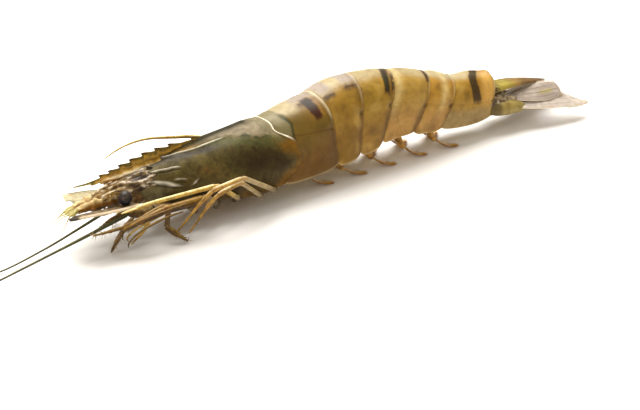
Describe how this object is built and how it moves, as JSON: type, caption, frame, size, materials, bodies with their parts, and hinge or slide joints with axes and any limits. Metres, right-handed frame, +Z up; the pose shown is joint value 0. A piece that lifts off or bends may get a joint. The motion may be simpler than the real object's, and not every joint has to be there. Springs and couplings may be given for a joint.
{
  "type": "raw tiger prawn",
  "caption": "Raw whole prawn with a toothed rostrum, banded abdomen, walking legs, swimmerets and a closed tail fan, lying on its legs and tail.",
  "frame": {"origin": "bottom centre of the prawn's box, on the surface it lies on", "axes": "+X runs from head to tail, -Y is the prawn's left side, +Z is up"},
  "size_m": [0.2856, 0.0479, 0.0363],
  "materials": {
    "carapace_shell": "wet dark olive shell",
    "abdomen_shell": "wet khaki shell with dark bands",
    "tail_fan": "wet thin grey-brown plates",
    "eye_cornea": "wet, nearly black",
    "limb_shell": "wet yellow-ochre limbs",
    "antenna": "dark olive feelers",
    "swimmeret": "wet pale orange blades"
  },
  "bodies": {
    "root": {"carapace": "carapace_shell", "head": "carapace_shell", "thorax_underside": "limb_shell", "abdomen_1": "abdomen_shell", "abdomen_2": "abdomen_shell", "abdomen_3": "abdomen_shell", "abdomen_4": "abdomen_shell", "abdomen_5": "abdomen_shell", "abdomen_6": "abdomen_shell", "telson": "tail_fan", "uropod_base_left": "tail_fan", "uropod_base_right": "tail_fan", "uropod_inner_left": "tail_fan", "uropod_inner_right": "tail_fan", "uropod_outer_left": "tail_fan", "uropod_outer_right": "tail_fan", "eye_left": "eye_cornea", "eye_right": "eye_cornea", "antennal_scale_left": "limb_shell", "antennal_scale_right": "limb_shell", "antennule_left": "limb_shell", "antennule_right": "limb_shell", "antenna_base_left": "limb_shell", "antenna_base_right": "limb_shell", "antenna_left": "antenna", "antenna_right": "antenna", "maxilliped_left": "limb_shell", "maxilliped_right": "limb_shell", "leg_1_left": "limb_shell", "leg_2_left": "limb_shell", "leg_3_left": "limb_shell", "leg_4_left": "limb_shell", "leg_5_left": "limb_shell", "leg_1_right": "limb_shell", "leg_2_right": "limb_shell", "leg_3_right": "limb_shell", "leg_4_right": "limb_shell", "leg_5_right": "limb_shell", "swimmeret_1_left": "swimmeret", "swimmeret_2_left": "swimmeret", "swimmeret_3_left": "swimmeret", "swimmeret_4_left": "swimmeret", "swimmeret_5_left": "swimmeret", "swimmeret_1_right": "swimmeret", "swimmeret_2_right": "swimmeret", "swimmeret_3_right": "swimmeret", "swimmeret_4_right": "swimmeret", "swimmeret_5_right": "swimmeret"}
  },
  "joints": []
}
